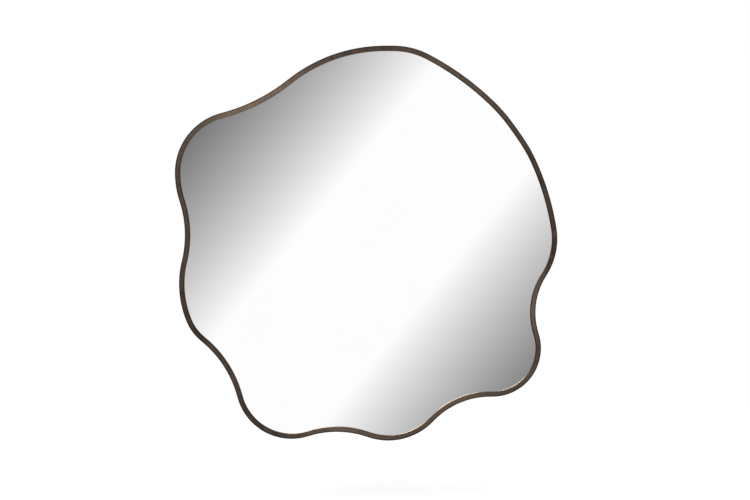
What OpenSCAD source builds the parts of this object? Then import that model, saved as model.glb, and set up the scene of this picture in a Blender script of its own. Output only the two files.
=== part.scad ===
// Wavy-edged wall mirror: a steel rim with a flat face and a bent side band, a silvered pane on a
// backing board, and two ring hangers. The face looks along -Y and the wall is the plane y = 0.
// The origin is midway between the two wall hooks, on the wall. All sizes are in millimetres.

/* [Outline] */
// Overall height of the mirror, over the rim
mirror_h = 914; // [760:1:1220]
// Largest gap between a true arc of the outline and the flats that stand for it
arc_sag = 0.1; // [0.05:0.05:0.5]

/* [Rim] */
// Width of the rim's flat face, seen from the front
face_w = 12.5; // [10:0.5:25]
// Thickness of the plate that the face is cut from
face_t = 2; // [1.5:0.5:4]
// Thickness of the bent strip behind the face
band_t = 2; // [1:0.25:3]
// Depth of the space behind the board that hides the hangers
recess = 8; // [7.5:0.5:25]

/* [Pane] */
// Thickness of the silvered glass
glass_t = 4; // [3:1:6]
// Clearance between the glass's edge and the side band
glass_gap = 1.5; // [0.5:0.25:2.5]
// Thickness of the safety film on the silvered side
film_t = 0.2; // [0.1:0.1:0.5]
// Thickness of the glazing tape between the face and the glass
glazing_t = 0.8; // [0.5:0.1:2]
// Width of the glazing tape
glazing_w = 5; // [3:0.5:6]
// Distance from the face's inner edge back to the glazing tape
glazing_setback = 2; // [0.5:0.5:2.5]

/* [Backing board] */
// Thickness of the backing board
board_t = 9; // [9:1:18]
// Clearance between the board's edge and the tabs' legs beside it
board_gap = 0.8; // [0.4:0.1:2]
// Thickness of the double-sided foam strips that hold the pane on the board
strip_t = 1; // [0.5:0.25:2]
// Width of one foam strip
strip_w = 25; // [12:1:40]
// Number of foam strips
strip_count = 5; // [3:1:5]
// Distance from one foam strip to the next
strip_pitch = 150; // [100:5:170]
// Distance from the mirror's edge to the ends of the foam strips
strip_margin = 40; // [25:1:80]

/* [Board tabs] */
// Width of a tab along the band that it is welded to
tab_w = 20; // [14:1:30]
// Length of a tab from the band inwards, over the back of the board
tab_l = 24; // [20:1:40]
// Length of a tab's leg, which is welded to the band beside the board's edge
tab_leg = 7; // [5:0.5:8]
// Thickness of the strip that the tabs are bent from
tab_t = 1.2; // [1:0.1:2]
// Distance from the band to the tab's screw hole
tab_hole_in = 15; // [10:0.5:15]

/* [Screws] */
// Shank diameter of the wood screws
screw_d = 4; // [3:0.25:4.5]
// Clearance all round a shank in the metal, and in the rubber
screw_gap = 0.25; // [0.1:0.05:0.5]
// Clearance all round a shank in its pilot hole in the board
pilot_gap = 0.05; // [0.03:0.01:0.1]
// Diameter of the pan head
head_d = 8; // [7:0.25:8.5]
// Height of the pan head
head_h = 2.4; // [2:0.1:3]
// Height of the pan head's straight edge, under its rounded crown
head_edge_h = 1; // [0.6:0.1:1.4]
// Length of the head's cross recess from end to end
cross_l = 4.4; // [3.2:0.2:5]
// Width of the cross recess's slots
cross_w = 1; // [0.6:0.1:1.4]
// Depth of the cross recess
cross_depth = 1.3; // [0.8:0.1:1.6]
// Length of the screw's point
tip_l = 1.6; // [1:0.2:3]
// Width of the point's blunt end
tip_d = 1.2; // [0.6:0.2:1.6]
// Length of screw that goes into the board
bite = 7; // [5:0.5:7.5]
// Depth of a pilot hole past the screw's point
pilot_spare = 1; // [0.5:0.25:1.5]

/* [Ring hangers] */
// Distance between the two wall hooks, one stud spacing
hook_span = 406.4; // [300:0.1:450]
// Height of the hooks above the middle of the outline
hook_rise = 250; // [180:1:260]
// Diameter of the ring's wire
wire_d = 3.5; // [3:0.25:4]
// Width of the ring between the wire's centre lines
ring_w = 26; // [24:1:34]
// Radius of the ring's two corners, at the wire's centre line
ring_corner_r = 4; // [3:0.25:5]
// Width of the strap that is rolled round the ring
strap_w = 15; // [12:0.5:15]
// Thickness of the strap
strap_t = 1.5; // [1:0.25:1.5]
// Length of the strap from the ring's bar to its rounded end
strap_l = 52; // [46:1:70]
// Running clearance all round the ring's bar in the strap's roll
roll_gap = 0.08; // [0.03:0.01:0.1]
// Clearance between the hanging ring and the strap that it lies over
ring_lift = 0.35; // [0.3:0.05:0.6]
// Distance from the hanging ring to the strap's first screw
strap_screw_gap = 7; // [6:0.5:8]
// Distance between the strap's two screws
strap_screw_pitch = 14; // [12:0.5:16]

/* [Wall feet] */
// Diameter of a rubber foot at the board
foot_d = 18; // [16:0.5:24]
// Diameter of a rubber foot's face at the wall
foot_face_d = 15; // [13:0.5:16]
// Distance that the feet stand out past the rim
foot_stand = 1.5; // [1:0.25:4]
// Thickness of rubber under the screw's head
foot_floor = 3; // [2:0.25:4]
// Distance from the mirror's edge to a foot's centre
foot_inset = 32; // [28:1:50]
// Clearance round the screw's head in the foot's well
well_gap = 0.75; // [0.5:0.25:1]

/* [Hidden] */
$fn = 64;

// The outline is a closed run of crests, clockwise from the right as seen from the front.
// A row holds a crest's centre across and up from the outline's middle, its radius, and the radius of
// the arc that leads to the next crest: above 0 for a hollow, below 0 for a flatter outward sweep.
// The rows are the shape at its drawn height, and the whole outline is scaled to mirror_h.
drawn_h = 918.1;
crests = [
    [286, 10, 157, 158],     // right
    [292, -244, 113, 182],   // lower right
    [50, -314, 145, 218],    // bottom
    [-175, -325, 130, 250],  // lower left
    [-311, -137, 117, -230], // left, its tighter half
    [-240, -90, 196, 255],   // left, its flatter half
    [-262, 156, 183, -230],  // upper left, its flatter half
    [-303, 164, 143, 415],   // upper left, its tighter half
    [42, 97, 362, -700],     // top
    [62, 281, 178, -650],    // shoulder, right of the top
    [18, 43, 399, -900],     // bend, halfway down the long side
    [100, 60, 322, -600],    // lower bend
];
crest_count = len(crests);
outline_k = mirror_h / drawn_h;

// What sits where on the outline: a crest's row and a bearing from its centre, anticlockwise from +X
tab_spots = [[0, -12], [1, -30], [2, -78], [3, -128], [4, 212], [7, 150], [8, 108], [10, 40]];
foot_spots = [[7, 112], [10, 45], [3, -85], [1, -78]];

// Depths are distances from the wall towards the front
band_back = foot_stand;
board_back = band_back + recess;
board_front = board_back + board_t;
film_back = board_front + strip_t;
glass_back = film_back + film_t;
glass_front = glass_back + glass_t;
face_back = glass_front + glazing_t;
foot_h = board_back;

// Distances in from the mirror's edge
glass_inset = band_t + glass_gap;
board_inset = band_t + tab_t + board_gap;

wire_r = wire_d / 2;
ring_r = ring_w / 2;
bar_half = ring_r - ring_corner_r;
ring_drop = ring_corner_r + ring_r;
roll_r = wire_r + roll_gap;
// The hooks bear on the inside of the raised rings, so the rings' bars lie this far below them
bar_z = wire_r - ring_drop;
bar_depth = board_back - strap_t - ring_lift - wire_r;
strap_screw_drop = ring_drop + wire_r + strap_screw_gap;
pilot_depth = bite + pilot_spare;
// Cuts start and end this far past the faces that they open
past = 1;

// Geometry of the outline

function direction(v) = atan2(v[1], v[0]);
function unit(a) = [cos(a), sin(a)];
function crest_at(i) = crests[i % crest_count];
function crest_centre(i) = outline_k * [crest_at(i)[0], crest_at(i)[1]];
function crest_r(i) = outline_k * crest_at(i)[2];
function blend_r(i) = outline_k * abs(crest_at(i)[3]);
function is_hollow(i) = crest_at(i)[3] > 0;

// Centre of the arc that touches crest i and the next one
function blend_centre(i) =
    let (
        a = crest_centre(i),
        b = crest_centre(i + 1),
        span = norm(b - a),
        along = (b - a) / span,
        outwards = [-along[1], along[0]],
        to_a = is_hollow(i) ? blend_r(i) + crest_r(i) : blend_r(i) - crest_r(i),
        to_b = is_hollow(i) ? blend_r(i) + crest_r(i + 1) : blend_r(i) - crest_r(i + 1),
        forth = (to_a * to_a - to_b * to_b + span * span) / (2 * span),
        rise = sqrt(to_a * to_a - forth * forth)
    )
    a + forth * along + (is_hollow(i) ? rise : -rise) * outwards;

// Bearing from a crest's centre to the point where it meets blend i
function touch(crest, i) =
    is_hollow(i) ? direction(blend_centre(i) - crest_centre(crest))
                 : direction(crest_centre(crest) - blend_centre(i));

// Points of an arc without its last one, with steps fine enough for arc_sag at the outline itself
function arc(centre, r, drawn_r, start, turn) =
    let (steps = max(1, ceil(abs(turn) / (2 * acos(1 - arc_sag / drawn_r)))))
    [for (s = [0 : steps - 1]) centre + r * unit(start + turn * s / steps)];

function clockwise(start, end) = -((start - end + 720) % 360);

function crest_arc(i, inset) =
    let (
        start = touch(i, (i + crest_count - 1) % crest_count),
        end = touch(i, i)
    )
    arc(crest_centre(i), crest_r(i) - inset, crest_r(i), start, clockwise(start, end));

function blend_arc(i, inset) =
    let (
        turn_back = is_hollow(i) ? 180 : 0,
        start = touch(i, i) + turn_back,
        end = touch(i + 1, i) + turn_back,
        turn = is_hollow(i) ? -clockwise(end, start) : clockwise(start, end),
        r = is_hollow(i) ? blend_r(i) + inset : blend_r(i) - inset
    )
    arc(blend_centre(i), r, blend_r(i), start, turn);

// The outline moved inwards by inset, about the outline's own middle
function raw_outline(inset) =
    [for (i = [0 : crest_count - 1]) each concat(crest_arc(i, inset), blend_arc(i, inset))];

// Sideways place of a flat shape's centre of mass
function balance_x(points, n) =
    let (
        cross_z = [for (i = [0 : n - 1])
            let (p = points[i], q = points[(i + 1) % n]) p[0] * q[1] - q[0] * p[1]],
        pull = [for (i = [0 : n - 1]) (points[i][0] + points[(i + 1) % n][0]) * cross_z[i]]
    )
    total(pull) / (3 * total(cross_z));
function total(list) = list * [for (v = list) 1];

edge = raw_outline(0);
// The outline hangs with its centre of mass midway between the hooks, so that the mirror hangs level
shift = [-balance_x(edge, len(edge)), -hook_rise];
function outline(inset) = [for (p = raw_outline(inset)) p + shift];

// A point near the rim: spot is a crest and a bearing, and inset the distance in from the outline
function rim_point(spot, inset) =
    crest_centre(spot[0]) + (crest_r(spot[0]) - inset) * unit(spot[1]) + shift;

// Solids shared by several pieces

// Lays flat children in the plane of the wall and raises them from depth by t towards the front
module plate(depth, t) {
    translate([0, -depth, 0])
        rotate([90, 0, 0])
            linear_extrude(t)
                children();
}

// A closed strip of the outline between two insets
module outline_ring(outer_inset, inner_inset) {
    outer = outline(outer_inset);
    inner = outline(inner_inset);
    n = len(outer);
    polygon(concat(outer, inner), [[for (i = [0 : n - 1]) i], [for (i = [0 : n - 1]) n + i]]);
}

// A round bar along the depth, at a point of the wall plane, from one depth to a larger one
module depth_bar(point, r, from, to) {
    translate([point[0], -from, point[1]])
        rotate([90, 0, 0])
            cylinder(h = to - from, r = r);
}

// A pan-head wood screw with a cross recess. Its head's seat is at depth seat, and it points to the front.
module screw(point, seat, length) {
    shank_r = screw_d / 2;
    crown_r = head_h - head_edge_h;
    crown_steps = 5;
    crown = [for (s = [0 : crown_steps])
        [head_d / 2 - crown_r, -head_edge_h] + crown_r * unit(-90 + 90 * s / crown_steps)];
    translate([point[0], -seat, point[1]])
        rotate([90, 0, 0])
            difference() {
                rotate_extrude()
                    polygon([
                        [0, -head_h],
                        each crown,
                        [head_d / 2, 0],
                        [shank_r, 0],
                        [shank_r, length - tip_l],
                        [tip_d / 2, length],
                        [0, length],
                    ]);
                for (turn = [0, 90])
                    rotate([0, 0, turn])
                        translate([-cross_l / 2, -cross_w / 2, -head_h - past])
                            cube([cross_l, cross_w, cross_depth + past]);
            }
}

// The rim

module face_ring() {
    color("#5a4c40")
        plate(face_back, face_t)
            outline_ring(0, face_w);
}

module side_band() {
    color("#54463b")
        plate(band_back, face_back - band_back)
            outline_ring(0, band_t);
}

// The pane and what holds it

module glazing_tape() {
    inner = face_w - glazing_setback;
    color("#1d1d1f")
        plate(glass_front, glazing_t)
            outline_ring(inner - glazing_w, inner);
}

module mirror_glass() {
    color("#d9dde0")
        plate(glass_back, glass_t)
            polygon(outline(glass_inset));
}

module safety_film() {
    color("#8fa0a8")
        plate(film_back, film_t)
            polygon(outline(glass_inset));
}

// Upright strips of double-sided foam tape, each cut to the height of the pane where it lies
module foam_strips() {
    first_x = -(strip_count - 1) / 2 * strip_pitch;
    color("#f2f0ea")
        for (i = [0 : strip_count - 1])
            plate(board_front, strip_t)
                intersection() {
                    polygon(outline(strip_margin));
                    translate([first_x + i * strip_pitch - strip_w / 2, -hook_rise - mirror_h / 2])
                        square([strip_w, mirror_h]);
                }
}

module backing_board() {
    color("#2b2725")
        difference() {
            plate(board_back, board_t)
                polygon(outline(board_inset));
            for (point = concat(tab_screw_points(), strap_screw_points(), foot_screw_points()))
                depth_bar(point, screw_d / 2 + pilot_gap, board_back - past, board_back + pilot_depth);
        }
}

// The tabs that join the board to the rim

function tab_screw_points() = [for (spot = tab_spots) rim_point(spot, band_t + tab_hole_in)];

// The shape of tab i from behind, from its inner end to well past the band
module tab_footprint(i) {
    past_band = 10;
    translate(rim_point(tab_spots[i], band_t))
        rotate(tab_spots[i][1])
            translate([-tab_l, -tab_w / 2])
                square([tab_l + past_band, tab_w]);
}

// Its leg follows the band beside the board's edge, and the rest is bent over the board's back
module tab(i) {
    tab_back = board_back - tab_t;
    color("#4d433a")
        difference() {
            union() {
                plate(tab_back, tab_t)
                    intersection() {
                        polygon(outline(band_t));
                        tab_footprint(i);
                    }
                plate(tab_back, tab_t + tab_leg)
                    intersection() {
                        outline_ring(band_t, band_t + tab_t);
                        tab_footprint(i);
                    }
            }
            depth_bar(tab_screw_points()[i], screw_d / 2 + screw_gap, tab_back - past, board_back + past);
        }
}

module tab_screws() {
    color("#b9b6ae")
        for (point = tab_screw_points())
            screw(point, board_back - tab_t, bite + tab_t);
}

// The ring hangers. side is -1 for the left one and 1 for the right one, seen from the front.

function strap_points(side) =
    [for (i = [0, 1]) [side * hook_span / 2, bar_z - strap_screw_drop - i * strap_screw_pitch]];
function strap_screw_points() = concat(strap_points(-1), strap_points(1));

// A level bar about the axis that a ring turns on
module cross_bar(side, length, r) {
    translate([side * hook_span / 2 - length / 2, -bar_depth, bar_z])
        rotate([0, 90, 0])
            cylinder(h = length, r = r);
}

// The strap lies flat on the board, and its upper end is rolled round the ring's bar
module hanger_strap(side) {
    end_r = strap_w / 2;
    straight = strap_l - end_r;
    color("#c9c6bd")
        difference() {
            union() {
                plate(board_back - strap_t, strap_t)
                    translate([side * hook_span / 2, bar_z - straight]) {
                        translate([-end_r, 0])
                            square([strap_w, straight]);
                        circle(r = end_r);
                    }
                cross_bar(side, strap_w, roll_r + strap_t);
            }
            cross_bar(side, strap_w + 2 * past, roll_r);
            for (point = strap_points(side))
                depth_bar(point, screw_d / 2 + screw_gap, board_back - strap_t - past, board_back + past);
        }
}

module strap_screws() {
    color("#b9b6ae")
        for (point = strap_screw_points())
            screw(point, board_back - strap_t, bite + strap_t);
}

// A closed ring of wire: a straight bar, two corners and a half circle, hanging down from the bar
module d_ring(side) {
    color("#d2cfc7")
        union() {
            cross_bar(side, 2 * bar_half, wire_r);
            translate([side * hook_span / 2, -bar_depth, bar_z - ring_corner_r]) {
                translate([bar_half, 0, 0])
                    wire_arc(ring_corner_r, 0, 90);
                translate([-bar_half, 0, 0])
                    wire_arc(ring_corner_r, 90, 90);
                wire_arc(ring_r, 180, 180);
            }
        }
}

// A length of the ring's wire bent in the plane of the wall, anticlockwise from the bearing start
module wire_arc(bend_r, start, angle) {
    rotate([90, 0, 0])
        rotate_extrude(angle = angle, start = start)
            translate([bend_r, 0])
                circle(r = wire_r);
}

// The rubber feet that keep the rim off the wall

function foot_screw_points() = [for (spot = foot_spots) rim_point(spot, foot_inset)];

module foot(i) {
    point = foot_screw_points()[i];
    well_floor = foot_h - foot_floor;
    color("#191919")
        difference() {
            translate([point[0], 0, point[1]])
                rotate([90, 0, 0])
                    cylinder(h = foot_h, r1 = foot_face_d / 2, r2 = foot_d / 2);
            depth_bar(point, head_d / 2 + well_gap, -past, well_floor);
            depth_bar(point, screw_d / 2 + screw_gap, well_floor - past, foot_h + past);
        }
}

module foot_screws() {
    color("#b9b6ae")
        for (point = foot_screw_points())
            screw(point, foot_h - foot_floor, bite + foot_floor);
}

face_ring();
side_band();
glazing_tape();
mirror_glass();
safety_film();
foam_strips();
backing_board();
tab(0);  // tab_right
tab(1);  // tab_lower_right
tab(2);  // tab_bottom
tab(3);  // tab_lower_left
tab(4);  // tab_left
tab(5);  // tab_upper_left
tab(6);  // tab_top
tab(7);  // tab_upper_right
tab_screws();
hanger_strap(-1);  // hanger_strap_left
hanger_strap(1);  // hanger_strap_right
strap_screws();
d_ring(-1);  // d_ring_left
d_ring(1);  // d_ring_right
foot(0);  // foot_upper_left
foot(1);  // foot_upper_right
foot(2);  // foot_lower_left
foot(3);  // foot_lower_right
foot_screws();
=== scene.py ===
# %% [markdown]
# # A wavy-edged wall mirror
#
# The real mirror is a silvered pane in a thin metal rim, with a backing board that hangs on two rings. Its
# construction is already packed as a model, with every piece at its real size and place. This lesson
# dresses that model: each piece gets its rounded edges, its bends and its finish. The model is loaded
# first, because every new piece is measured from it.

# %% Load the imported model
import math

import bmesh
import bpy
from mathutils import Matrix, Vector, noise
from mathutils.geometry import intersect_point_line
from mathutils.kdtree import KDTree


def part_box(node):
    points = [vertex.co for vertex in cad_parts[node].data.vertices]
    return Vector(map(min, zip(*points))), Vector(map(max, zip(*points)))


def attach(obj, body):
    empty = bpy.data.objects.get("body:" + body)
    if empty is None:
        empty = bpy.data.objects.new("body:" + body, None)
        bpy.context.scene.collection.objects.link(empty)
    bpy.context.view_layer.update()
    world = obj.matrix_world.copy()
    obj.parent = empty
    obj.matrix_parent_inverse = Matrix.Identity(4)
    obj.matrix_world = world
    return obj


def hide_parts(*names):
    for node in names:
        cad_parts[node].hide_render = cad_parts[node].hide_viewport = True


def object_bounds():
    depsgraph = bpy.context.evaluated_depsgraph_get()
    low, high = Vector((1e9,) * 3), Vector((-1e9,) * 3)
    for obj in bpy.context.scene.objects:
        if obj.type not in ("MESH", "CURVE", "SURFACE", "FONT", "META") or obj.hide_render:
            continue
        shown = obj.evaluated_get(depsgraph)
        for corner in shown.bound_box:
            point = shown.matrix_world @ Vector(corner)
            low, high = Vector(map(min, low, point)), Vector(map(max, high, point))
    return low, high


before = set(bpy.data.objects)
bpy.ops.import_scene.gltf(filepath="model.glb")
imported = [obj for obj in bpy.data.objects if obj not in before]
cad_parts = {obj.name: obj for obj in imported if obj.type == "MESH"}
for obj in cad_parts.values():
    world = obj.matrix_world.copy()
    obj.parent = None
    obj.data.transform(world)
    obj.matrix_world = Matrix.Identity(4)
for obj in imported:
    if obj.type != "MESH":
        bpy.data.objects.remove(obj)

MM = 0.001
scene = bpy.context.scene
cad_low, cad_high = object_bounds()
middle = (cad_low + cad_high) / 2
print("CAD box in mm:", [round(side / MM, 1) for side in cad_high - cad_low])

# %% [markdown]
# ## The camera
#
# The photo was taken from straight in front. How large the mirror looks in it sets the lens: its height and
# its middle were read in pixels, and the camera stands where both come out the same. Four metres is an
# ordinary studio distance. A camera that stands further off with a longer lens would look much alike,
# because the mirror is almost flat.

# %% Set up the camera
PHOTO_WIDE = 750
PHOTO_HIGH = 500
MIRROR_PX_HIGH = 395.1
MIRROR_PX_MIDDLE = (366.1, 243.1)
CAMERA_DISTANCE = 4.0
pixel = (cad_high.z - cad_low.z) / MIRROR_PX_HIGH

camera_data = bpy.data.cameras.new("camera")
camera_data.sensor_width = 36
camera_data.lens = camera_data.sensor_width * CAMERA_DISTANCE / (PHOTO_WIDE * pixel)
camera = bpy.data.objects.new("camera", camera_data)
camera.location = (
    middle.x + (PHOTO_WIDE / 2 - MIRROR_PX_MIDDLE[0]) * pixel,
    cad_low.y - CAMERA_DISTANCE,
    middle.z - (PHOTO_HIGH / 2 - MIRROR_PX_MIDDLE[1]) * pixel,
)
camera.rotation_euler = (math.radians(90), 0, 0)
scene.collection.objects.link(camera)
scene.camera = camera
scene.view_settings.view_transform = "Standard"
print("one pixel is", round(pixel / MM, 3), "mm, lens", round(camera_data.lens, 1))

# %% [markdown]
# ## Helpers for finishes
#
# Colours are written as the hex values that a paint chart would give, so one function turns them into the
# linear values that the renderer works in. Materials are small graphs of nodes. One function adds a node,
# sets what it is told, and links each input that is given another node's output.

# %% Colours, nodes and materials
def linear(code):
    """The linear colour of an sRGB hex value."""
    channels = [int(code[i:i + 2], 16) / 255 for i in (1, 3, 5)]
    return (*[c / 12.92 if c <= 0.04045 else ((c + 0.055) / 1.055) ** 2.4 for c in channels], 1)


def add(tree, kind, inputs=None, **settings):
    """Adds one node with its settings, and sets or links its inputs."""
    made = tree.nodes.new("ShaderNode" + kind)
    for name, value in settings.items():
        setattr(made, name, value)
    for name, value in (inputs or {}).items():
        if isinstance(value, bpy.types.NodeSocket):
            tree.links.new(value, made.inputs[name])
        else:
            made.inputs[name].default_value = value
    return made


# A Mix node that blends colours keeps them in these inputs and in this output
BLEND = 0
FIRST = 6
SECOND = 7
MIXED = 2


def start_material(name, **sockets):
    """A new material, its node tree and its surface shader, with sockets set on the shader itself."""
    made = bpy.data.materials.new(name)
    made.use_nodes = True
    surface = made.node_tree.nodes["Principled BSDF"]
    for socket, value in sockets.items():
        surface.inputs[socket.replace("_", " ")].default_value = value
    return made, made.node_tree, surface


def per_mm(size):
    """The scale of a pattern whose features are this many millimetres across."""
    return 1 / (size * MM)


print("a grey of #808080 is", round(linear("#808080")[0], 3), "of white, in light")

# %% [markdown]
# ## Opening the model's pieces
#
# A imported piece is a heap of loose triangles. Its own mesh stays as it is, so each new piece starts from a
# copy. Merging the corners that share a place and dissolving the edges that cross flat faces gives back the
# clean faces that bevels need.

# %% Copy, merge and find the sharp edges
SAME_PLACE = 0.001 * MM
FLAT = math.radians(0.5)
SHARP = math.radians(50)


def merged(node_name):
    """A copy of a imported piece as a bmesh, with its triangles joined and its flat faces made whole."""
    bm = bmesh.new()
    bm.from_mesh(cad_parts[node_name].data)
    bmesh.ops.remove_doubles(bm, verts=bm.verts, dist=SAME_PLACE)
    bmesh.ops.dissolve_limit(bm, angle_limit=FLAT, verts=bm.verts, edges=bm.edges)
    return bm


def sharp_edges(bm):
    """The edges at which a piece turns a sharp corner."""
    return [edge for edge in bm.edges if edge.calc_face_angle(0) > SHARP]


# %% Round its edges and make a piece of it
def round_edges(bm, edges, radius, segments):
    """Bevels edges to a round of this radius in millimetres."""
    bmesh.ops.bevel(
        bm, geom=edges, offset=radius * MM, offset_type="OFFSET", segments=segments,
        profile=0.5, affect="EDGES", clamp_overlap=True, material=-1,
    )


def finish_piece(bm, name, body, materials, stands_for, smooth_to=40):
    """Makes an object of a bmesh, rides it on its body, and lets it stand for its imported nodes."""
    mesh = bpy.data.meshes.new(name)
    bm.to_mesh(mesh)
    bm.free()
    mesh.shade_smooth()
    mesh.set_sharp_from_angle(angle=math.radians(smooth_to))
    for material in materials:
        mesh.materials.append(material)
    piece = bpy.data.objects.new(name, mesh)
    scene.collection.objects.link(piece)
    # Large flat faces keep their own direction, and only the rounds between them are shaded as curves
    piece.modifiers.new("flat faces stay flat", "WEIGHTED_NORMAL").keep_sharp = True
    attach(piece, body)
    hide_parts(*stands_for)
    print(f"{name}: {len(mesh.polygons)} faces, stands for {', '.join(stands_for)}")
    return piece


# %% [markdown]
# ## The run of the rim
#
# The rim is one long wave, and its wear, its painted sheen and its brush marks all follow that wave. So the
# outline is walked once, from point to point, and every place on the rim is then known by two numbers: how
# far along the run it lies, and how far in from the edge. These are what a U and a V of a UV map are for.

# %% Walk the outline
def open_ring(node_name):
    """A ring-shaped piece without its flat front and back, so that its two walls are left."""
    bm = merged(node_name)
    ends = [face for face in bm.faces if abs(face.normal.y) > 0.5]
    bmesh.ops.delete(bm, geom=ends, context="FACES")
    return bm


def in_order(edge, edges):
    """The points of the closed run of edges that starts at edge, in order."""
    left = set(edges) - {edge}
    corner = edge.verts[1]
    points = [corner.co.copy()]
    while any(e in left for e in corner.link_edges):
        edge = next(e for e in corner.link_edges if e in left)
        left.discard(edge)
        corner = edge.other_vert(corner)
        points.append(corner.co.copy())
    return points


face_low, face_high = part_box("face_ring")
walls = open_ring("face_ring")
front_edges = [e for e in walls.edges if e.is_boundary and e.verts[0].co.y < (face_low.y + face_high.y) / 2]
outermost = min(front_edges, key=lambda e: e.verts[0].co.x)
outline = in_order(outermost, front_edges)
front_corners = {tuple(vert.co) for edge in front_edges for vert in edge.verts}
walls.free()

count = len(outline)
steps = [(outline[(i + 1) % count] - outline[i]).length for i in range(count)]
run_at = [sum(steps[:i]) for i in range(count)]
run_total = sum(steps)
print("outline:", count, "points,", round(run_total / MM), "mm round")

# %% Find a place on the run
finder = KDTree(count)
for i, point in enumerate(outline):
    finder.insert(point, i)
finder.balance()


def run_and_inset(place):
    """How far along the run and how far in from the outline a place lies, in metres."""
    level = Vector((place.x, face_low.y, place.z))
    nearest = finder.find(level)[1]
    best = None
    for i in (nearest - 1, nearest):
        a, b = outline[i % count], outline[(i + 1) % count]
        share = min(1, max(0, intersect_point_line(level, a, b)[1]))
        away = (a.lerp(b, share) - level).length
        if best is None or away < best[1]:
            best = (run_at[i % count] + share * steps[i % count], away)
    return best


insets = [run_and_inset(Vector(corner))[1] for corner in front_corners]
inner_insets = [inset for inset in insets if inset > 1 * MM]
face_w = sum(inner_insets) / len(inner_insets)
print("rim face:", round(face_w / MM, 2), "mm wide")

# %% [markdown]
# ## How the rim has worn, and where sheen is painted on it
#
# The bronze look comes from a brown coat that is rubbed back by hand with a pad. The metal is drawn lighter
# in the hollows of the wave and darker on its crests. It is also lighter where the rim runs along a bearing
# that rises a little to the right: that is painted sheen, the light that brushed metal throws in some
# directions, and not wear. Both are worked out from the outline itself. The hand's own unevenness is a slow
# noise on top. Each point of the outline gets one number for its face, from 0 for the full coat to 1 for bare
# bronze or full painted sheen, and one for the painted highlight on the arris at the glass.

# %% How the outline bends
SMOOTH_OVER = 25 * MM

headings = []
for i in range(count):
    step = outline[(i + 1) % count] - outline[i]
    headings.append(math.atan2(step.z, step.x))
turns = [
    (headings[i] - headings[i - 1] + math.pi) % (2 * math.pi) - math.pi for i in range(count)
]
way_round = 1 if sum(turns) > 0 else -1


def bend_at(i):
    """How sharply the outline bends near point i, in radians to the metre, above 0 on a crest."""
    weighted_turn = 0
    weight_sum = 0
    for j in range(count):
        apart = abs(run_at[i] - run_at[j])
        apart = min(apart, run_total - apart)
        weight = math.exp(-0.5 * (apart / SMOOTH_OVER) ** 2)
        weighted_turn += weight * turns[j] * way_round
        weight_sum += weight * (steps[j - 1] + steps[j]) / 2
    return weighted_turn / weight_sum


bends = [bend_at(i) for i in range(count)]
print("it bends by", round(min(bends), 1), "to", round(max(bends), 1), "radians to the metre")

# %% Work out the wear
SHEEN_BEARING = math.radians(20)
MEAN_WEAR_AND_SHEEN = 0.32
# A crest of 100 mm radius bends by 10 radians to the metre
DARKER_PER_BEND = 0.018
SHEEN_PER_BEARING = 0.095
# The hand lingers for about 0.2 m. The noise starts where its light places suit the photo.
HAND_SPAN = 180 * MM
HAND_START = Vector((23.25, 38.5, 62.5))
WEAR_PER_HAND = 0.3


def along_sheen_bearing(i):
    """1 where the run at point i lies along the painted sheen's bearing, and -1 where it lies across it."""
    return math.cos(2 * (headings[i] - SHEEN_BEARING))


def wear_and_sheen_at(i):
    """Wear and painted sheen at point i, from 0 to 1."""
    place = Vector((outline[i].x, 0, outline[i].z)) / HAND_SPAN
    hand = noise.noise(place + HAND_START)
    # Painted sheen: the bearing term lightens the rim where it runs along the sheen's bearing. The bend term
    # only draws it darker on crests and lighter in hollows.
    by_shape = SHEEN_PER_BEARING * along_sheen_bearing(i) - DARKER_PER_BEND * bends[i]
    return min(1, max(0, MEAN_WEAR_AND_SHEEN + by_shape + WEAR_PER_HAND * hand))


wear_and_sheen = [wear_and_sheen_at(i) for i in range(count)]
# The inner arris gets a painted highlight where the run lies along the sheen's bearing, and painted shade
# elsewhere
arris_highlight = [(1 + along_sheen_bearing(i)) / 2 for i in range(count)]
print("wear from", round(min(wear_and_sheen), 2), "to", round(max(wear_and_sheen), 2))

# %% [markdown]
# A UV map and two vertex attributes carry these numbers to the material. The map has to be cut somewhere,
# because the run comes back to its start: a face that crosses the cut gets U values past the full length.

# %% Write run, depth and wear onto a piece
def mark_run(bm, unroll):
    """Adds the UV map `run`, the wear with its painted sheen, and the arris's painted highlight. unroll gives
    V from an inset and a place.
    """
    worn_or_sheen = bm.verts.layers.float.new("wear_and_sheen")
    arris_lit = bm.verts.layers.float.new("arris_highlight")
    uv = bm.loops.layers.uv.new("run")
    known = {}
    for vert in bm.verts:
        run, inset = run_and_inset(vert.co)
        known[vert] = (run, unroll(inset, vert.co))
        nearest = finder.find(Vector((vert.co.x, face_low.y, vert.co.z)))[1]
        vert[worn_or_sheen] = wear_and_sheen[nearest]
        vert[arris_lit] = arris_highlight[nearest]
    for face in bm.faces:
        runs = [known[loop.vert][0] for loop in face.loops]
        crosses_cut = max(runs) - min(runs) > run_total / 2
        for loop in face.loops:
            run, across = known[loop.vert]
            if crosses_cut and run < run_total / 2:
                run += run_total
            loop[uv].uv = (run, across)
    print("marked", len(known), "corners with their run and their wear")


# %% [markdown]
# ## Antiqued bronze
#
# This finish is steel plated with brass, coated brown, rubbed back by hand and sealed with a satin lacquer.
# To the eye it is a dark metal with lighter clouds and fine scratches across the rim. On the face, painted
# shade darkens both margins, and a painted highlight brightens the inner arris where it runs along the
# sheen's bearing. A plain noise would put the light places anywhere, so the two attributes, of wear with
# painted sheen and of the arris's painted highlight, lead and noises only break them up.

# %% Scratches of the pad
# Noise seldom leaves this range, so what it drives is spread over it
NOISE_LOW = 0.3
NOISE_HIGH = 0.7


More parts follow.
